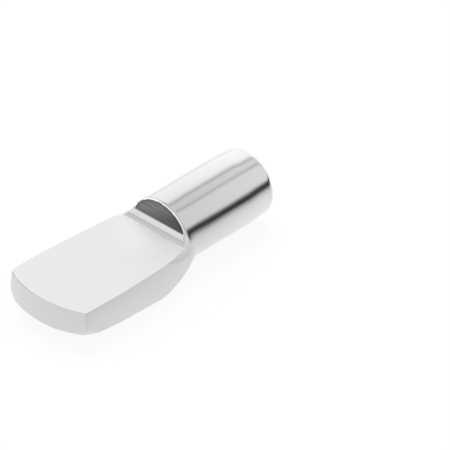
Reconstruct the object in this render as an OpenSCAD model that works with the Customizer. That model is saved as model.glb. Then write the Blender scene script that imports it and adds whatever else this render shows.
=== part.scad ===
// Shelf support pin: a round stem that pushes into a drilled hole, and a flat spoon blade that the
// shelf rests on. One forged piece of bright-plated metal.
// X runs along the stem, with the blade toward -X and the stem toward +X, and +Z is up.
// The origin is on the stem's axis, where the shoulder has died into it and the panel's face comes.

/* [Stem] */
// Diameter of the stem, to suit the drilled hole
stem_d = 5; // [4:0.25:8]
// Length of the stem from the step to its far end
stem_len = 8.5; // [6:0.25:20]
// How much further the stem's root stands out at the step, tapering away to the panel's face
root_swell = 0.03; // [0.02:0.01:0.1]
// Length of the rounded lead-in at the stem's far end
nose_len = 1.25; // [0.5:0.05:1.5]
// Radius of the lead-in's curve, seen from the side
nose_r = 2.05; // [1.6:0.05:4]

/* [Blade] */
// Length of the blade from the step to the middle of its tip
blade_len = 11.2; // [8:0.05:24]
// Width of the blade where its bulged sides are furthest apart
blade_w = 7.35; // [6:0.05:12]
// Height of the blade's flat top above the stem's axis
blade_top = 0.46; // [0.1:0.02:0.8]
// Thickness of the blade at its tip
tip_t = 1.85; // [1.6:0.05:2.4]
// Radius of the tip's curve, seen from above
tip_r = 8.5; // [6.5:0.1:30]
// Depth of the widest line round the blade below the stem's axis
bulge_drop = 0.7; // [0.5:0.05:1]
// Radius of the sides' slight outward curve, seen from above
side_curve_r = 58; // [50:1:200]
// Distance from the step to where the blade is widest
widest_at = 7.8; // [4:0.1:9]

/* [Shoulder] */
// Distance from the step to where the sides start to close in on the stem
shoulder_at = 1.5; // [0.8:0.1:3]
// Length over which the sides close in on the stem
shoulder_len = 4.05; // [3.5:0.05:6]
// Distance past the step at which the shoulder's lower side has died into the stem
heel_end = 1.5; // [1:0.05:3]
// Radius of the hollow between the blade's top and the face of the step
step_fillet = 0.75; // [0.3:0.05:1]

/* [Rounded lower corners] */
// Height above the stem's axis of the line that the blade's lower corners are rounded about
corner_axis = 1.6; // [1.2:0.05:2.5]
// Distance from that line to the rounding at the blade's tip
corner_tip = 3.85; // [3.4:0.05:8]
// Distance from that line to the rounding where the shoulder ends
corner_heel = 3.1; // [2:0.05:4]
// Rise of the rounding's lengthwise curve between its two ends
corner_rise = 1.85; // [1:0.05:4]

/* [Hidden] */
stem_r = stem_d / 2;
bulge_r = blade_w / 2;
tip_centre = tip_r - blade_len;
margin = 1;
side_stations = 12;
shoulder_step = 5;
$fn = 96;

// Half-width of the blade's bar at a place along the pin, before the shoulder closes it
function side_half(x) = bulge_r - pow(x + widest_at, 2) / (2 * side_curve_r);

// Height of the underside, which runs straight from the stem's bottom line up to the tip
function underside(x) =
    let (tip_z = blade_top - tip_t)
    -stem_r + (tip_z + stem_r) * (heel_end - x) / (heel_end + blade_len);

// Turns a profile that was revolved about Z so that its height runs along +X
module along_x() {
    rotate([0, 90, 0]) children();
}

// Draws a profile in the XZ plane and extends it equally to both sides
module side_view(width) {
    rotate([90, 0, 0]) linear_extrude(width, center = true) children();
}

// Round stem with a slightly thicker root and a curved lead-in at its far end
module stem() {
    straight = stem_len - nose_len;
    root_r = stem_r + root_swell;
    along_x() rotate_extrude() union() {
        translate([0, heel_end]) square([stem_r, straight - heel_end]);
        polygon([[0, -margin], [root_r, -margin], [root_r, 0], [stem_r, heel_end], [0, heel_end]]);
        intersection() {
            translate([0, straight - margin]) square([stem_r, nose_len + margin]);
            translate([stem_r - nose_r, straight]) circle(nose_r);
        }
    }
}

// Bar with bulged sides, closed by a rounded shoulder that dies into the stem
module bar() {
    start = -blade_len - margin;
    side_step = (-shoulder_at - start) / side_stations;
    sides = [for (i = [0 : side_stations]) let (x = start + i * side_step) [side_half(x), x]];
    shoulder = [
        for (a = [shoulder_step : shoulder_step : 90 - shoulder_step])
            let (x = -shoulder_at + shoulder_len * sin(a)) [side_half(x) * cos(a), x]
    ];
    closed = [[0, shoulder_len - shoulder_at], [0, start]];
    translate([0, 0, -bulge_drop]) along_x()
        rotate_extrude() polygon(concat(sides, shoulder, closed));
}

// Keeps what lies behind the tip: a disc with a bulged rim, open toward the stem
module tip_limit() {
    translate([tip_centre, 0, -bulge_drop]) {
        rotate_extrude() union() {
            translate([0, -bulge_r + margin / 2]) square([tip_r - bulge_r, 2 * bulge_r - margin]);
            intersection() {
                translate([0, -bulge_r]) square([tip_r, 2 * bulge_r]);
                translate([tip_r - bulge_r, 0]) circle(bulge_r);
            }
        }
    }
    translate([tip_centre, -tip_r, -bulge_drop - bulge_r])
        cube([blade_len - tip_r + shoulder_len + margin, 2 * tip_r, 2 * bulge_r]);
}

// Keeps what lies inside a barrel with a curved side, which rounds off the lower corners
module corner_limit() {
    run = heel_end + blade_len;
    drop = corner_tip - corner_heel;
    chord = sqrt(run * run + drop * drop);
    curve_r = (chord * chord / 4 + corner_rise * corner_rise) / (2 * corner_rise);
    inset = curve_r - corner_rise;
    centre = [(corner_tip + corner_heel) / 2 - inset * run / chord,
              (heel_end - blade_len) / 2 - inset * drop / chord];
    translate([0, 0, corner_axis]) along_x() rotate_extrude() intersection() {
        translate([0, centre.y - curve_r]) square(2 * curve_r);
        translate(centre) circle(curve_r);
    }
}

// Space over the blade: its flat top, the hollow at its root and the upright face of the step
module space_above() {
    over = stem_r + bulge_r;
    side_view(2 * blade_w) difference() {
        translate([-blade_len - 2 * margin, blade_top]) square([blade_len + 2 * margin, over]);
        difference() {
            translate([-step_fillet, blade_top - margin])
                square([step_fillet + margin, step_fillet + margin]);
            translate([-step_fillet, blade_top + step_fillet]) circle(step_fillet);
        }
    }
}

// Space under the blade, bounded by the sloping underside
module space_below() {
    front = -blade_len - 2 * margin;
    back = heel_end;
    low = -stem_r - bulge_r;
    side_view(2 * blade_w)
        polygon([[front, low], [front, underside(front)], [back, underside(back)], [back, low]]);
}

// The whole pin, moved from the step's plane, where its sizes start, to the panel's face
module shelf_pin() {
    color("silver") translate([-heel_end, 0, 0]) difference() {
        union() {
            stem();
            intersection() {
                bar();
                tip_limit();
                corner_limit();
            }
        }
        space_above();
        space_below();
    }
}

shelf_pin();
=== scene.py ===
import math

import bmesh
import bpy
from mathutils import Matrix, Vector


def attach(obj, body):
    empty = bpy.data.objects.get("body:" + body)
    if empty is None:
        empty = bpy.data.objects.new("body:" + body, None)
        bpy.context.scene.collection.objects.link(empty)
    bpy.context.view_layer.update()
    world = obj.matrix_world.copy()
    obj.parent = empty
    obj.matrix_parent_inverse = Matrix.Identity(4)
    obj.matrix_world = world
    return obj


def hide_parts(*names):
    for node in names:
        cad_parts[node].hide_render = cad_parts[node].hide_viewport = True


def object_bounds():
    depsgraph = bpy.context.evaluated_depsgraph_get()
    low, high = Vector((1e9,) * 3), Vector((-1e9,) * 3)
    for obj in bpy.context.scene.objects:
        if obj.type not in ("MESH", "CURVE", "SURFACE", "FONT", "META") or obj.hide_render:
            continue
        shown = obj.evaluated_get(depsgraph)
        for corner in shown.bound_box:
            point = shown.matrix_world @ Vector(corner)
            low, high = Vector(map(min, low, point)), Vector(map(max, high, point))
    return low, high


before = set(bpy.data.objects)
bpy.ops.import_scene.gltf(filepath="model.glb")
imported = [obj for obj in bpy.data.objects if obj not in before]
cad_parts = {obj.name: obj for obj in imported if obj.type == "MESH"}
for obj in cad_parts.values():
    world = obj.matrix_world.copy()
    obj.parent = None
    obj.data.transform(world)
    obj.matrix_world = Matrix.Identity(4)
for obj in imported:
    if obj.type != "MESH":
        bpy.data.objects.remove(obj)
cad_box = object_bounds()

# The pin is modelled in millimetres with the step between blade and stem at x = 0, and is then
# moved so that the panel's face is there, and brought down to metres.
MM = 0.001
PANEL_FACE = 1.5
STEP = -PANEL_FACE

# The stem, its rounded end and the slight lead-in before that. Its root swells inside the shoulder.
STEM_R = 2.5
STEM_LEN = 8.55
NOSE_R = 0.46
LEAD_IN = 2.0
LEAD_IN_BEND = 0.8
LEAD_IN_TAPER = math.radians(3.5)
ROOT_DEPTH = 1.0
ROOT_SWELL = 0.03

# The blade. Its near and far sides differ a little: half the width at the widest place, how far that is
# from the step, and the radius of the side's bow. The walls of the sides and the tip bulge about BULGE_Z.
BLADE_LEN = 11.08
NEAR_HALF = 3.61
NEAR_WIDEST = 8.1
NEAR_BOW = 67.0
FAR_HALF = 3.52
FAR_WIDEST = 9.5
FAR_BOW = 81.0
BLADE_TOP = 0.46
TIP_THICK = 2.02
TIP_R = 8.06
BULGE_R = 12.0
BULGE_Z = -0.7
BULGE_HALF_ANGLE = 0.6
BLADE_TURN = math.radians(1.15)

# The shoulder closes in an oval that is a little squarer than an ellipse. The roof is a round bar, lower
# than the stem, that keeps the shoulder's top down, and the heel is where the underside begins.
SHOULDER_AT = 1.38
SHOULDER_LEN = 4.22
OVAL = 2.25
ROOF_Z = -0.9
ROOF_R = 3.63
ROOF_FLARE = 0.1
ROOF_FLARE_AT = 0.5
HEEL_END = 1.7

# The hollow at the foot of the step, and the metal left over the flat for the last cut, which comes
# after the edges are softened.
FILLET_R = 0.75
LEFT_TO_PRESS = 0.14

# The barrel rounds the blade's lower corners, and the dish rounds the tip's near corner further.
BARREL_Z = 1.27
BARREL_HALF = 5.08
BARREL_BOW = 12.15
BARREL_MID = -5.58
DISH_AT = -5.6
DISH_R = 5.95
DISH_TOP = -0.2
DISH_BOW = 0.28
DISH_HIGH = 3.2
DISH_ENDS = 0.6

# The tools that cut the blade reach this far past its tip and its shoulder, and to the sides, up and
# down. Points are picked by their place to within a hair.
PAST_TIP = 3.0
PAST_SHOULDER = 4.0
AROUND = 8.0
HAIR = 0.01

# Fineness: faces round a turned piece, points along a curve, the size of the final mesh's faces, how
# close points are to be welded, and the angle past which an edge is shaded sharp.
RING = 360
CURVE = 60
GRAIN = 0.068
WELD = 0.0002
SHARP = math.radians(32)

X = Vector((1, 0, 0))
Z = Vector((0, 0, 1))


def start_clean():
    """Object mode with nothing selected."""
    if bpy.context.object and bpy.context.object.mode != "OBJECT":
        bpy.ops.object.mode_set(mode="OBJECT")
    bpy.ops.object.select_all(action="DESELECT")


def pick(piece):
    """Makes one piece the selected and active one."""
    start_clean()
    piece.select_set(True)
    bpy.context.view_layer.objects.active = piece


def pick_points(piece, wanted):
    """In edit mode, selects the points whose place passes the test, with all that lies between them."""
    bpy.ops.mesh.select_mode(type="VERT")
    bpy.ops.mesh.select_all(action="DESELECT")
    points = bmesh.from_edit_mesh(piece.data)
    for v in points.verts:
        v.select_set(bool(wanted(v.co)))
    points.select_flush(True)
    bmesh.update_edit_mesh(piece.data)


def soften(piece, wanted, times):
    """In edit mode, smooths the points whose place passes the test."""
    pick_points(piece, wanted)
    bpy.ops.mesh.vertices_smooth(factor=0.5, repeat=times)


def turned(name, outline, axis, middle=(0, 0, 0)):
    """A solid of revolution about X or Z. One point is extruded along the outline, whose points say how
    far they are along the axis and out from it, and the line is spun round the axis."""
    start_clean()
    out = Z if axis == X else X
    stations = [Vector(middle) + along * axis + away * out for along, away in outline]
    bpy.ops.mesh.primitive_plane_add(size=0.1, location=stations[0])
    piece = bpy.context.object
    piece.name = name
    bpy.ops.object.mode_set(mode="EDIT")
    bpy.ops.mesh.merge(type="CENTER")
    for before, after in zip(stations, stations[1:]):
        bpy.ops.mesh.extrude_region_move(TRANSFORM_OT_translate={"value": after - before})
    bpy.ops.mesh.select_all(action="SELECT")
    bpy.ops.mesh.spin(steps=RING, angle=math.tau, center=middle, axis=axis)
    bpy.ops.mesh.select_all(action="SELECT")
    bpy.ops.mesh.remove_doubles(threshold=WELD)
    bpy.ops.mesh.normals_make_consistent(inside=False)
    bpy.ops.object.mode_set(mode="OBJECT")
    bpy.ops.object.transform_apply(location=True, rotation=True, scale=True)
    return piece


def block(name, low, high):
    """A box between two corners."""
    start_clean()
    low, high = Vector(low), Vector(high)
    bpy.ops.mesh.primitive_cube_add(size=1, location=(low + high) / 2, scale=high - low)
    piece = bpy.context.object
    piece.name = name
    bpy.ops.object.transform_apply(location=True, rotation=True, scale=True)
    return piece


def join_by(piece, tool, how):
    """Applies a boolean of the tool to the piece, and removes the tool."""
    pick(piece)
    cut = piece.modifiers.new(how.title(), "BOOLEAN")
    cut.operation = how
    cut.solver = "MANIFOLD"
    cut.object = tool
    bpy.ops.object.modifier_apply(modifier=cut.name)
    bpy.data.objects.remove(tool, do_unlink=True)


def steps(first, last, count):
    """Evenly spaced numbers from first to last."""
    return [first + (last - first) * i / count for i in range(count + 1)]


def closed(line):
    """An outline brought back to its axis at both ends."""
    return [(line[0][0], 0)] + line + [(line[-1][0], 0)]


def half_width(x, half, widest, bow):
    """Half the blade's width at a place along it, closing in a quarter of an oval at the shoulder."""
    into = min(max((x + SHOULDER_AT) / SHOULDER_LEN, 0), 1)
    return (half - (x + widest) ** 2 / (2 * bow)) * (1 - into**OVAL) ** (1 / OVAL)


def rod_line():
    """Outline of the round stem, from its root inside the blade to its rounded end."""
    root = STEM_R + ROOT_SWELL
    lead_in = STEM_LEN - NOSE_R * (1 - math.sin(LEAD_IN_TAPER)) - LEAD_IN
    bend_r = LEAD_IN_BEND / math.sin(LEAD_IN_TAPER)
    bend = [
        (lead_in + bend_r * math.sin(a), STEM_R - bend_r * (1 - math.cos(a)))
        for a in steps(0, LEAD_IN_TAPER, CURVE // 5)
    ]
    nose_r = bend[-1][1] - (LEAD_IN - LEAD_IN_BEND) * math.tan(LEAD_IN_TAPER)
    centre = nose_r - NOSE_R * math.cos(LEAD_IN_TAPER)
    nose = [
        (STEM_LEN - NOSE_R + NOSE_R * math.sin(a), centre + NOSE_R * math.cos(a))
        for a in steps(LEAD_IN_TAPER, math.pi / 2, 2 * CURVE // 5)[1:]
    ]
    return closed([(-ROOT_DEPTH, root), (0, root), (PANEL_FACE, STEM_R)] + bend + nose)


def along_blade():
    """Stations along the blade, closer together where the shoulder turns in."""
    shoulder = [-SHOULDER_AT + SHOULDER_LEN * math.sin(a) for a in steps(0, math.pi / 2, CURVE)]
    return steps(-BLADE_LEN - 1, -SHOULDER_AT, CURVE)[:-1] + shoulder


def side_line(half, widest, bow):
    """Outline of one bulged side, turned about a line beyond the blade's middle."""
    inset = BULGE_R - half
    return closed([(x, inset + half_width(x, half, widest, bow)) for x in along_blade()])


def roof_line():
    """Outline of the roof, which follows the near side's plan and flares clear of the blade."""
    line = []
    for x in along_blade()[:-1]:
        bar_r = ROOF_R + ROOF_FLARE * max(-x - ROOF_FLARE_AT, 0)
        line.append((x, half_width(x, NEAR_HALF, NEAR_WIDEST, NEAR_BOW) * bar_r / NEAR_HALF))
    return [(line[0][0], 0)] + line + [(line[-1][0] + HAIR, 0)]


def tip_line():
    """Outline of the disc whose bulged rim is the tip's end wall."""
    inset = TIP_R - BULGE_R
    angles = steps(-BULGE_HALF_ANGLE, BULGE_HALF_ANGLE, CURVE)
    return closed([(BULGE_Z + BULGE_R * math.sin(a), inset + BULGE_R * math.cos(a)) for a in angles])


def barrel_line():
    """Outline of the barrel that rounds the blade's lower corners. It runs on past both of its ends."""
    inset = BARREL_HALF - BARREL_BOW
    stations = steps(-BLADE_LEN - 1.5, 3.5, 2 * CURVE)
    return closed([(x, inset + math.sqrt(BARREL_BOW**2 - (x - BARREL_MID) ** 2)) for x in stations])


def dish_line():
    """Outline of the shallow dish, straight down to its top and curving in below that."""
    heights = steps(-DISH_HIGH, DISH_HIGH, 64)
    return closed([(z, DISH_R - DISH_BOW * max(DISH_TOP - z, 0) ** 2) for z in heights])


def near_corner_dish():
    """The dish, with blocks beside it so that only the near corner of the tip is rounded. The blocks are
    a little lower than the dish, and overlap, so that no faces coincide."""
    piece = turned("dish", dish_line(), Z, (DISH_AT, 0, 0))
    high = DISH_HIGH - 0.2
    far_part = block("far_part", (-BLADE_LEN - PAST_TIP, DISH_ENDS, -high), (PAST_SHOULDER, AROUND, high))
    join_by(piece, far_part, "UNION")
    root_part = block("root_part", (DISH_AT, -AROUND, -high), (PAST_SHOULDER, DISH_ENDS + 0.4, high))
    join_by(piece, root_part, "UNION")
    return piece


def blade():
    """The blade before its top and underside are pressed flat."""
    near = side_line(NEAR_HALF, NEAR_WIDEST, NEAR_BOW)
    far = side_line(FAR_HALF, FAR_WIDEST, FAR_BOW)
    piece = turned("blade", near, X, (0, BULGE_R - NEAR_HALF, BULGE_Z))
    join_by(piece, turned("far_side", far, X, (0, FAR_HALF - BULGE_R, BULGE_Z)), "INTERSECT")
    join_by(piece, turned("roof", roof_line(), X, (0, 0, ROOF_Z)), "INTERSECT")
    join_by(piece, turned("tip", tip_line(), Z, (TIP_R - BLADE_LEN, 0, 0)), "INTERSECT")
    join_by(piece, turned("barrel", barrel_line(), X, (0, 0, BARREL_Z)), "INTERSECT")
    join_by(piece, near_corner_dish(), "INTERSECT")
    pick(piece)
    piece.rotation_euler.z = -BLADE_TURN
    bpy.ops.object.transform_apply(location=True, rotation=True, scale=True)
    return piece


def hollow_tool():
    """The space in front of the step, with the hollow at its root, and a first rough cut over the blade
    that overlaps it by 0.1 mm."""
    hollow_ends = -FILLET_R - 0.3
    piece = block("hollow_tool", (hollow_ends, -AROUND, BLADE_TOP), (0, AROUND, AROUND))
    bpy.ops.object.mode_set(mode="EDIT")
    pick_points(piece, lambda p: p.x > -HAIR and p.z < BLADE_TOP + HAIR)
    bpy.ops.mesh.bevel(offset=FILLET_R, segments=40, profile=0.5, affect="EDGES")
    bpy.ops.object.mode_set(mode="OBJECT")
    rough_low = (-BLADE_LEN - PAST_TIP, -AROUND, BLADE_TOP + LEFT_TO_PRESS)
    join_by(piece, block("rough_cut", rough_low, (hollow_ends + 0.1, AROUND, AROUND)), "UNION")
    return piece


def pressed_flat():
    """The space over the finished flat, as far as the foot of the hollow."""
    return block(
        "pressed_flat",
        (-BLADE_LEN - PAST_TIP, -AROUND, BLADE_TOP),
        (-FILLET_R - 2 * HAIR, AROUND, AROUND),
    )


def underside(x):
    """Height of the blade's underside, which slopes up from the stem's bottom line to the tip."""
    slope = (BLADE_TOP - TIP_THICK + STEM_R) / (HEEL_END + BLADE_LEN)
    return -STEM_R + slope * (HEEL_END - x)


def under_blade():
    """The space under the blade."""
    front = -BLADE_LEN - PAST_TIP
    piece = block("under_blade", (front, -AROUND, -AROUND), (HEEL_END, AROUND, -STEM_R))
    bpy.ops.object.mode_set(mode="EDIT")
    pick_points(piece, lambda p: p.x < front + HAIR and p.z > -STEM_R - HAIR)
    bpy.ops.transform.translate(value=(0, 0, underside(front) + STEM_R))
    bpy.ops.object.mode_set(mode="OBJECT")
    return piece


def lower_edge(p):
    """The edge round the blade's underside, 0.15 mm to either side."""
    return p.x < HEEL_END and abs(p.z - underside(p.x)) < 0.15


def near_crease(p):
    """Where the shoulder dies into the stem, from 0.12 mm under the stem's skin outwards."""
    return -0.2 < p.x < 2.2 and p.z < 0.9 and math.hypot(p.y, p.z) > STEM_R - 0.12


def rim(p):
    """The edge between the step's upright face and the stem, above the foot of the step."""
    return -0.1 < p.x < 0.2 and p.z > 1.1 and math.hypot(p.y, p.z) > STEM_R - 0.2


def far_tip_corner(p, low):
    """The tip's far corner above a height. It is rounder than the near one, and more so at its top."""
    return p.x < -BLADE_LEN + 1.3 and p.y > FAR_HALF - 0.62 and p.z > low


def pin_solid():
    """The stem and the blade joined, with the spaces over and under the blade cut away."""
    piece = turned("pin", rod_line(), X)
    join_by(piece, blade(), "UNION")
    join_by(piece, hollow_tool(), "DIFFERENCE")
    join_by(piece, under_blade(), "DIFFERENCE")
    return piece


def tumble(piece):
    """Remeshes the piece evenly and softens it, more at its edges, as tumbling does."""
    pick(piece)
    skin = piece.modifiers.new("Skin", "REMESH")
    skin.mode = "VOXEL"
    skin.voxel_size = GRAIN
    skin.use_smooth_shade = True
    bpy.ops.object.modifier_apply(modifier=skin.name)
    bpy.ops.object.mode_set(mode="EDIT")
    soften(piece, lambda p: True, times=3)
    soften(piece, lower_edge, times=7)
    soften(piece, near_crease, times=14)
    soften(piece, rim, times=5)
    for low in (-0.1, -0.3, -0.6, -0.9):
        soften(piece, lambda p: far_tip_corner(p, low), times=9)
    bpy.ops.object.mode_set(mode="OBJECT")


def move_to_frame(piece):
    """Moves the step to its place in the frame, and brings millimetres down to metres."""
    pick(piece)
    bpy.ops.object.mode_set(mode="EDIT")
    bpy.ops.mesh.select_all(action="SELECT")
    bpy.ops.transform.translate(value=(STEP, 0, 0))
    bpy.ops.transform.resize(value=(MM, MM, MM), center_override=(0, 0, 0))
    bpy.ops.object.mode_set(mode="OBJECT")


def shade(piece):
    """Shades the piece smooth up to its sharp edges, and its pressed flat truly flat."""
    pick(piece)
    bpy.ops.object.shade_smooth_by_angle(angle=SHARP)
    bpy.ops.object.mode_set(mode="EDIT")
    bpy.ops.mesh.select_mode(type="FACE")
    bpy.ops.mesh.select_all(action="DESELECT")
    skin = bmesh.from_edit_mesh(piece.data)
    for f in skin.faces:
        level = abs(f.calc_center_median().z - BLADE_TOP * MM) < HAIR * MM
        f.select_set(level and f.normal.z > 0.9999)
    bmesh.update_edit_mesh(piece.data)
    bpy.ops.mesh.faces_shade_flat()
    bpy.ops.object.mode_set(mode="OBJECT")


def shelf_pin():
    """One closed piece: joined, softened at the edges, and then pressed flat on top."""
    piece = pin_solid()
    tumble(piece)
    join_by(piece, pressed_flat(), "DIFFERENCE")
    move_to_frame(piece)
    shade(piece)
    piece.name = "pin_skin"
    return piece


# Finishes -----------------------------------------------------------------------------------------

# Levels of the light that the metal reflects: the paper from 40 mm on the near side to 10 mm on the
# far side, and each side of the tent from straight down to straight up.
POOL = [(0, 0.05), (0.1, 0.07), (0.424, 0.27), (0.558, 0.56), (0.624, 0.77), (0.664, 0.86), (0.69, 0.91)]
POOL += [(0.71, 0.93), (0.73, 0.96), (0.8, 0.97), (0.96, 1.02)]
NEAR_SIDE = [(0, 0.06), (0.53, 0.06), (0.562, 0.27), (0.6, 0.72), (0.64, 0.88), (0.86, 0.88)]
NEAR_SIDE += [(0.878, 0.83), (0.887, 0.62), (0.8945, 0.62), (0.9, 0.83), (1, 0.83)]
FAR_SIDE = [(0, 1.2), (0.6, 1.2), (0.8, 1.18), (0.838, 1.14), (0.863, 1.06), (0.88, 0.8)]
FAR_SIDE += [(0.888, 0.62), (0.8955, 0.62), (0.9, 0.83), (1, 0.83)]

WHITE = (1, 1, 1, 1)


def linear(code):
    """An sRGB hex colour as linear RGBA."""
    parts = [int(code[i : i + 2], 16) / 255 for i in (0, 2, 4)]
    return [c / 12.92 if c <= 0.04045 else ((c + 0.055) / 1.055) ** 2.4 for c in parts] + [1]


def node(tree, kind, links=(), **settings):
    """Adds a node: settings name its properties or, by a leading underscore and number, its inputs,
    and stops are the places and grey levels of a colour ramp."""
    made = tree.nodes.new(kind)
    for key, value in settings.items():
        if key.startswith("_"):
            made.inputs[int(key[1:])].default_value = value
        elif key == "stops":
            band = made.color_ramp.elements
            band.remove(band[1])
            for i, (at, level) in enumerate(value):
                stop = band[0] if i == 0 else band.new(at)
                stop.position, stop.color = at, (level, level, level, 1)
        else:
            setattr(made, key, value)
    for place, socket in dict(links).items():
        tree.links.new(socket, made.inputs[place])
    return made


def satin_flat(tree, spot, facing):
    """Where the pressed flat is, by its upward face and its height."""
    up = node(tree, "ShaderNodeMapRange", {0: facing[2]}, _1=0.955, _2=0.985).outputs[0]
    low = node(tree, "ShaderNodeMapRange", {0: spot[2]}, _1=BLADE_TOP + 0.34, _2=BLADE_TOP + 0.14).outputs[0]
    return node(tree, "ShaderNodeMath", {0: up, 1: low}, operation="MULTIPLY").outputs[0]


def sheared_face(tree, spot, facing, from_axis):
    """Where the step's upright face and the steep end of the hollow are, which take painted shade and a
    rougher finish. Above its foot the face stops just inside the rim, which is as bright as the stem."""
    upright = node(tree, "ShaderNodeMapRange", {0: facing[0]}, _1=-0.92, _2=-0.97).outputs[0]
    by_step = node(tree, "ShaderNodeMapRange", {0: spot[0]}, _1=STEP - 1.1, _2=STEP - 0.9).outputs[0]
    sheared = node(tree, "ShaderNodeMath", {0: upright, 1: by_step}, operation="MULTIPLY").outputs[0]
    inside = node(tree, "ShaderNodeMapRange", {0: from_axis}, _1=STEM_R, _2=STEM_R - 0.05).outputs[0]
    foot = node(tree, "ShaderNodeMapRange", {0: spot[2]}, _1=1.2, _2=1.0).outputs[0]
    inside = node(tree, "ShaderNodeMath", {0: inside, 1: foot}, operation="MAXIMUM").outputs[0]
    return node(tree, "ShaderNodeMath", {0: sheared, 1: inside}, operation="MULTIPLY").outputs[0]


def rim_highlight_and_shade(tree, spot):
    """Where the painted highlight along the step's rim is, and the painted shade line 0.15 mm behind it:
    colour standing in for the light and the dark that the rim's small rounding reflects.
    """
    above = node(tree, "ShaderNodeMapRange", {0: spot[2]}, _1=1.1, _2=1.3).outputs[0]
    edge = node(tree, "ShaderNodeMapRange", {0: spot[0]}, _1=STEP + 0.12, _2=STEP + 0.06).outputs[0]
    edge = node(tree, "ShaderNodeMath", {0: edge, 1: above}, operation="MULTIPLY").outputs[0]
    line = node(tree, "ShaderNodeMapRange", {0: spot[0]}, _1=STEP, _2=STEP + 0.3).outputs[0]
    line = node(tree, "ShaderNodeValToRGB", {0: line}, stops=[(0.3, 0), (0.5, 1), (0.7, 0)]).outputs[0]
    line = node(tree, "ShaderNodeMath", {0: line, 1: above}, operation="MULTIPLY").outputs[0]
    return edge, line


def worn_edges(tree, at, spot, facing):
    """Where the edges are worn dull: the soft edge at the near end of the hollow, by its slope and its
    place, and the upright edge of the tip's near corner, 0.1 mm to either side."""
    nearward = node(tree, "ShaderNodeMapRange", {0: facing[1]}, _1=-0.3, _2=-0.5).outputs[0]
    sloping = node(tree, "ShaderNodeMapRange", {0: facing[2]}, _1=0.15, _2=0.35).outputs[0]
    edge = node(tree, "ShaderNodeMath", {0: nearward, 1: sloping}, operation="MULTIPLY").outputs[0]
    up_to_step = node(tree, "ShaderNodeMapRange", {0: spot[0]}, _1=STEP + 0.3, _2=STEP + 0.1).outputs[0]
    edge = node(tree, "ShaderNodeMath", {0: edge, 1: up_to_step}, operation="MULTIPLY").outputs[0]
    corner = node(tree, "ShaderNodeVectorMath", {0: at}, operation="MULTIPLY", _1=(1, 1, 0)).outputs[0]
    corner_line = (STEP - 10.31, -3.36, 0)
    corner = node(tree, "ShaderNodeVectorMath", {0: corner}, operation="DISTANCE", _1=corner_line)
    corner = node(tree, "ShaderNodeMapRange", {0: corner.outputs["Value"]}, _1=0.18, _2=0.08).outputs[0]
    return node(tree, "ShaderNodeMath", {0: edge, 1: corner}, operation="MAXIMUM").outputs[0]


def tip_edge_shade(tree, spot, facing):
    """Where the painted shade line is: a fine grey line along the top of the tip's wall, stronger
    towards its far end, standing in for the dark that the wall's edge reflects.
    """
    top = node(tree, "ShaderNodeMapRange", {0: spot[2]}, _1=BLADE_TOP - 0.12, _2=BLADE_TOP - 0.04).outputs[0]
    wall = node(tree, "ShaderNodeMapRange", {0: facing[2]}, _1=0.7, _2=0.5).outputs[0]
    edge_shade = node(tree, "ShaderNodeMath", {0: top, 1: wall}, operation="MULTIPLY").outputs[0]
    far_half = node(tree, "ShaderNodeMapRange", {0: spot[1]}, _1=-1.0, _2=2.0).outputs[0]
    edge_shade = node(tree, "ShaderNodeMath", {0: edge_shade, 1: far_half}, operation="MULTIPLY").outputs[0]
    by_tip = node(tree, "ShaderNodeMapRange", {0: spot[0]}, _1=STEP - 9.1, _2=STEP - 9.5).outputs[0]
    return node(tree, "ShaderNodeMath", {0: edge_shade, 1: by_tip}, operation="MULTIPLY").outputs[0]


def painted_face_shade(tree, at, from_axis):
    """Painted shade for the step's upright face: a dark colour in place of the dark reflection that the
    face shows, paler towards its top and far end, darker still in a narrow band under the rim, and
    streaked by the shear."""
    paler = node(tree, "ShaderNodeVectorMath", {0: at}, operation="DOT_PRODUCT", _1=(0, 0.23, 0.42))
    paler = node(tree, "ShaderNodeMapRange", {0: paler.outputs["Value"]}, _1=-0.1, _2=1.4).outputs[0]
    foot, top = linear("4C4C4D"), linear("A0A0A1")
    tone = node(tree, "ShaderNodeMix", {0: paler}, data_type="RGBA", _6=foot, _7=top).outputs[2]
    band = {"_1": STEM_R - 0.35, "_2": STEM_R - 0.1, "_3": 0, "_4": 0.5}
    band = node(tree, "ShaderNodeMapRange", {0: from_axis}, **band).outputs[0]
    tone = node(tree, "ShaderNodeMix", {0: band, 6: tone}, data_type="RGBA", _7=linear("3C3C3D")).outputs[2]
    # the streaks are about 2.2 mm long and 0.3 mm apart
    streak = node(tree, "ShaderNodeMapping", {0: at}, _3=(0, 1 / 2.2, 1 / 0.3)).outputs[0]
    streak = node(tree, "ShaderNodeTexNoise", {0: streak}, _2=1.0, _3=2.0).outputs[0]
    streak = node(tree, "ShaderNodeMapRange", {0: streak}, _1=0.4, _2=0.65, _3=0, _4=0.45).outputs[0]
    return node(tree, "ShaderNodeMix", {0: streak, 6: tone}, data_type="RGBA", _7=linear("4A4A4B")).outputs[2]


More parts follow.
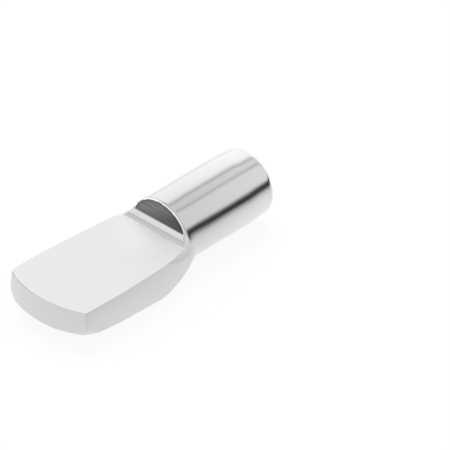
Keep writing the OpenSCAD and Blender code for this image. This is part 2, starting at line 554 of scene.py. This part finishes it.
def plated_tone(tree, at, spot, flat):
    """Colour of the plating, brightest where it is thickest, towards the free end, and of the satin flat,
    painted a little lighter beside the step as painted light, to offset the shade and dark reflection
    that the step throws on it."""
    thick = node(tree, "ShaderNodeMapRange", {0: spot[0]}, _1=0, _2=6.0).outputs[0]
    thin, full = linear("D9D9D9"), linear("E3E3E3")
    bright = node(tree, "ShaderNodeMix", {0: thick}, data_type="RGBA", _6=thin, _7=full).outputs[2]
    # painted light: the flat is coloured paler within 3 mm of a spot beside the step
    patch = (STEP - 0.8, 0.3, 0.5)
    painted_light_by_step = node(tree, "ShaderNodeVectorMath", {0: at}, operation="DISTANCE", _1=patch)
    painted_light_by_step = node(tree, "ShaderNodeMapRange", {0: painted_light_by_step.outputs["Value"]}, _1=3.0, _2=0.4).outputs[0]
    plain, paler = linear("D8D8D8"), linear("E4E4E4")
    satin = node(tree, "ShaderNodeMix", {0: painted_light_by_step}, data_type="RGBA", _6=plain, _7=paler).outputs[2]
    return node(tree, "ShaderNodeMix", {0: flat, 6: bright, 7: satin}, data_type="RGBA").outputs[2]


def ripple(tree, at):
    """The drawn rod's ripple, a few microns high: long waves, about 4 mm along the pin and 1.2 mm across
    it, and fine drawing lines about 17 mm long and 0.3 mm apart."""
    wave = node(tree, "ShaderNodeMapping", {0: at}, _3=(1 / 4, 1 / 1.2, 1 / 1.2)).outputs[0]
    wave = node(tree, "ShaderNodeTexNoise", {0: wave}, _2=1.0, _3=1.0).outputs[0]
    lines = node(tree, "ShaderNodeMapping", {0: at}, _3=(1 / 17, 1 / 0.3, 1 / 0.3)).outputs[0]
    lines = node(tree, "ShaderNodeTexNoise", {0: lines}, _2=1.0, _3=1.0).outputs[0]
    wave = node(tree, "ShaderNodeMath", {0: lines, 2: wave}, operation="MULTIPLY_ADD", _1=0.06).outputs[0]
    return node(tree, "ShaderNodeBump", {"Height": wave}, _0=1.0, _1=0.012 * MM).outputs[0]


def nickel_plate():
    """Bright nickel over steel, tumbled before plating: a clear mirror with a faint soft ripple. The
    pressed flat is satin, and the sheared face of the step is rougher and coloured dark as painted
    shade. The rim carries a painted highlight and a painted shade line, the top of the tip's wall a
    painted shade line, and the flat is painted a little lighter beside the step."""
    finish = bpy.data.materials.new("nickel_plate")
    finish.use_nodes = True
    tree = finish.node_tree
    shader = tree.nodes["Principled BSDF"]

    # a point's place in millimetres, how far it is from the stem's axis, and which way its face looks
    place = node(tree, "ShaderNodeTexCoord").outputs["Object"]
    at = node(tree, "ShaderNodeMapping", {0: place}, _3=(1 / MM, 1 / MM, 1 / MM)).outputs[0]
    spot = node(tree, "ShaderNodeSeparateXYZ", {0: at}).outputs
    across = node(tree, "ShaderNodeVectorMath", {0: at}, operation="MULTIPLY", _1=(0, 1, 1)).outputs[0]
    from_axis = node(tree, "ShaderNodeVectorMath", {0: across}, operation="LENGTH").outputs["Value"]
    normal = node(tree, "ShaderNodeNewGeometry").outputs["Normal"]
    facing = node(tree, "ShaderNodeSeparateXYZ", {0: normal}).outputs

    flat = satin_flat(tree, spot, facing)
    sheared = sheared_face(tree, spot, facing, from_axis)
    edge, line = rim_highlight_and_shade(tree, spot)
    worn = worn_edges(tree, at, spot, facing)
    edge_shade = tip_edge_shade(tree, spot, facing)

    tone = plated_tone(tree, at, spot, flat)
    # painted highlight: near-white colour along the edge of the step's rim
    tone = node(tree, "ShaderNodeMix", {0: edge, 6: tone}, data_type="RGBA", _7=linear("FAFAFA")).outputs[2]
    # painted shade: a grey line just behind the rim
    tone = node(tree, "ShaderNodeMix", {0: line, 6: tone}, data_type="RGBA", _7=linear("B0B0B0")).outputs[2]
    # painted shade: a grey line along the top edge of the tip's wall
    tone = node(tree, "ShaderNodeMix", {0: edge_shade, 6: tone}, data_type="RGBA", _7=linear("B8B8B8")).outputs[2]
    # painted shade: the step's upright face is coloured dark in place of the dark reflection it shows
    dark = painted_face_shade(tree, at, from_axis)
    tone = node(tree, "ShaderNodeMix", {0: sheared, 6: tone, 7: dark}, data_type="RGBA").outputs[2]
    tree.links.new(tone, shader.inputs["Base Color"])

    # tumbling leaves patches about 1.1 mm across that are a little more or less polished
    patch = node(tree, "ShaderNodeTexNoise", {0: at}, _2=1 / 1.1, _3=2.0).outputs[0]
    rough = node(tree, "ShaderNodeMapRange", {0: patch}, _1=0.3, _2=0.7, _3=0.08, _4=0.13).outputs[0]
    dull = node(tree, "ShaderNodeMath", {0: flat, 1: worn}, operation="MAXIMUM").outputs[0]
    rough = node(tree, "ShaderNodeMix", {0: dull, 2: rough}, data_type="FLOAT", _3=0.5).outputs[0]
    rough = node(tree, "ShaderNodeMix", {0: sheared, 2: rough}, data_type="FLOAT", _3=0.35).outputs[0]
    tree.links.new(rough, shader.inputs["Roughness"])
    # the satin flat and the worn edges scatter most of their light
    metal = node(tree, "ShaderNodeMapRange", {0: dull}, _3=1.0, _4=0.12).outputs[0]
    tree.links.new(metal, shader.inputs["Metallic"])
    tree.links.new(ripple(tree, at), shader.inputs["Normal"])
    return finish


def white_paper():
    """A matt white sheet. The camera sees it as plain white with a trace of shade, and the metal sees
    the pool of light that the pin lies in."""
    finish = bpy.data.materials.new("white_paper")
    finish.use_nodes = True
    tree = finish.node_tree
    tree.nodes.clear()
    rays = node(tree, "ShaderNodeLightPath").outputs
    reflected = {0: rays["Is Glossy Ray"], 1: rays["Is Transmission Ray"]}
    reflected = node(tree, "ShaderNodeMath", reflected, operation="MAXIMUM").outputs[0]
    # nine tenths plain white to the camera, and all pool to the metal
    share = {0: rays["Is Camera Ray"], 2: reflected}
    share = node(tree, "ShaderNodeMath", share, operation="MULTIPLY_ADD", _1=0.9).outputs[0]
    # the pool is brightest on the far side, falls off over 40 mm on the near side, and is dimmer by the tip
    place = node(tree, "ShaderNodeTexCoord").outputs["Object"]
    at = node(tree, "ShaderNodeMapping", {0: place}, _3=(1 / MM, 1 / MM, 1 / MM)).outputs[0]
    spot = node(tree, "ShaderNodeSeparateXYZ", {0: at}).outputs
    across = node(tree, "ShaderNodeMapRange", {0: spot[1]}, _1=-40, _2=10).outputs[0]
    pool = node(tree, "ShaderNodeValToRGB", {0: across}, stops=POOL).outputs[0]
    by_tip = node(tree, "ShaderNodeMapRange", {0: spot[0]}, _1=-20, _2=-8, _3=0.93, _4=1.0).outputs[0]
    pool = node(tree, "ShaderNodeVectorMath", {0: pool, 1: by_tip}, operation="MULTIPLY").outputs[0]
    tone = node(tree, "ShaderNodeMix", {0: reflected, 7: pool}, data_type="RGBA", _6=WHITE).outputs[2]
    matt = node(tree, "ShaderNodeBsdfDiffuse", _0=linear("F6F6F4"))
    plain = node(tree, "ShaderNodeEmission", {0: tone}, _1=1.0)
    both = node(tree, "ShaderNodeMixShader", {0: share, 1: matt.outputs[0], 2: plain.outputs[0]})
    node(tree, "ShaderNodeOutputMaterial", {0: both.outputs[0]})
    return finish


# Light and camera ---------------------------------------------------------------------------------

# Past the pin's free end, for rays whose x is over this, the tent's panel and gap run straight on.
STRAIGHT_ON = 0.591

# The paper, the lamp and the camera, in metres. The camera's view has its middle beside the step.
SHEET_SIZE = 1.2
LAMP_AT = Vector((0.1, 0.15, 0.5))
LAMP_SIZE = 0.3
LAMP_WATTS = 1.2

CAMERA_TURN = math.radians(46.27)
CAMERA_RISE = math.radians(35.1)
CAMERA_AWAY = 0.85
VIEW_MIDDLE = Vector((STEP + 3.2, -2.893, 0.445)) * MM
VIEW_WIDTH = 29.49 * MM
SENSOR_WIDTH = 36


def studio():
    """A white tent, dimmer on the near side, with a grey panel overhead and a dark gap at the horizon."""
    world = bpy.data.worlds.new("studio")
    bpy.context.scene.world = world
    world.use_nodes = True
    tree = world.node_tree
    tree.nodes.clear()
    toward = node(tree, "ShaderNodeTexCoord").outputs["Generated"]
    parts = node(tree, "ShaderNodeSeparateXYZ", {0: toward}).outputs
    # height of the ray, from straight down at 0 to straight up at 1
    widen = 1 / math.sqrt(1 - STRAIGHT_ON**2)
    aside = node(tree, "ShaderNodeVectorMath", {0: toward}, operation="MULTIPLY", _1=(0, widen, widen))
    aside = node(tree, "ShaderNodeVectorMath", {0: aside.outputs[0]}, operation="LENGTH").outputs["Value"]
    aside = node(tree, "ShaderNodeMath", {0: aside}, operation="MINIMUM", _1=1.0).outputs[0]
    height = node(tree, "ShaderNodeMath", {0: parts[2], 1: aside}, operation="DIVIDE").outputs[0]
    # towards the tip, the panel and the gap are up to 22% lower
    lower = node(tree, "ShaderNodeMapRange", {0: parts[0]}, _1=-1.0, _2=0, _3=1.22, _4=1.0).outputs[0]
    height = node(tree, "ShaderNodeMath", {0: height, 1: lower}, operation="MULTIPLY").outputs[0]
    height = node(tree, "ShaderNodeMapRange", {0: height}, _1=-1.0, _2=1.0).outputs[0]
    across = node(tree, "ShaderNodeMapRange", {0: parts[1]}, _1=-1.0, _2=1.0).outputs[0]
    near = node(tree, "ShaderNodeValToRGB", {0: height}, stops=NEAR_SIDE).outputs[0]
    far = node(tree, "ShaderNodeValToRGB", {0: height}, stops=FAR_SIDE).outputs[0]
    side = node(tree, "ShaderNodeMapRange", {0: across}, _1=0.42, _2=0.58).outputs[0]
    tone = node(tree, "ShaderNodeMix", {0: side, 6: near, 7: far}, data_type="RGBA").outputs[2]
    # and the tent is a little dimmer there
    dimmer = node(tree, "ShaderNodeMapRange", {0: parts[0]}, _1=-0.6, _2=0, _3=0.88, _4=1.0).outputs[0]
    tone = node(tree, "ShaderNodeVectorMath", {0: tone, 1: dimmer}, operation="MULTIPLY").outputs[0]
    seen = node(tree, "ShaderNodeLightPath").outputs["Is Camera Ray"]
    tone = node(tree, "ShaderNodeMix", {0: seen, 6: tone}, data_type="RGBA", _7=WHITE).outputs[2]
    light = node(tree, "ShaderNodeBackground", {0: tone}, _1=1.0)
    node(tree, "ShaderNodeOutputWorld", {0: light.outputs[0]})


def paper():
    """The sheet that the pin lies on."""
    start_clean()
    bpy.ops.mesh.primitive_plane_add(size=SHEET_SIZE, location=(0, 0, cad_box[0].z))
    sheet = bpy.context.object
    sheet.name = "paper"
    bpy.ops.object.transform_apply(location=True, rotation=True, scale=True)
    sheet.data.materials.append(white_paper())


def lamp():
    """One large soft lamp overhead, which lights the paper and lays a faint shade under the pin."""
    bpy.ops.object.light_add(type="AREA", location=LAMP_AT)
    soft = bpy.context.object
    soft.rotation_euler = LAMP_AT.to_track_quat("Z", "Y").to_euler()
    soft.data.size = LAMP_SIZE
    soft.data.energy = LAMP_WATTS
    soft.visible_glossy = False


def camera():
    """A long lens on the blade's near side, raised above the paper."""
    level = math.cos(CAMERA_RISE)
    back = Vector((-math.sin(CAMERA_TURN) * level, -math.cos(CAMERA_TURN) * level, math.sin(CAMERA_RISE)))
    bpy.ops.object.camera_add(location=VIEW_MIDDLE + back * CAMERA_AWAY)
    eye = bpy.context.object
    eye.rotation_mode = "QUATERNION"
    eye.rotation_quaternion = (-back).to_track_quat("-Z", "Y")
    eye.data.sensor_width = SENSOR_WIDTH
    eye.data.lens = SENSOR_WIDTH * CAMERA_AWAY / VIEW_WIDTH
    eye.data.clip_start, eye.data.clip_end = 0.05, 5
    bpy.context.scene.camera = eye


pin = shelf_pin()
pin.data.materials.clear()
pin.data.materials.append(nickel_plate())
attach(pin, "root")
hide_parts("shelf_pin")

studio()
paper()
lamp()
camera()
bpy.context.scene.view_settings.view_transform = "Standard"
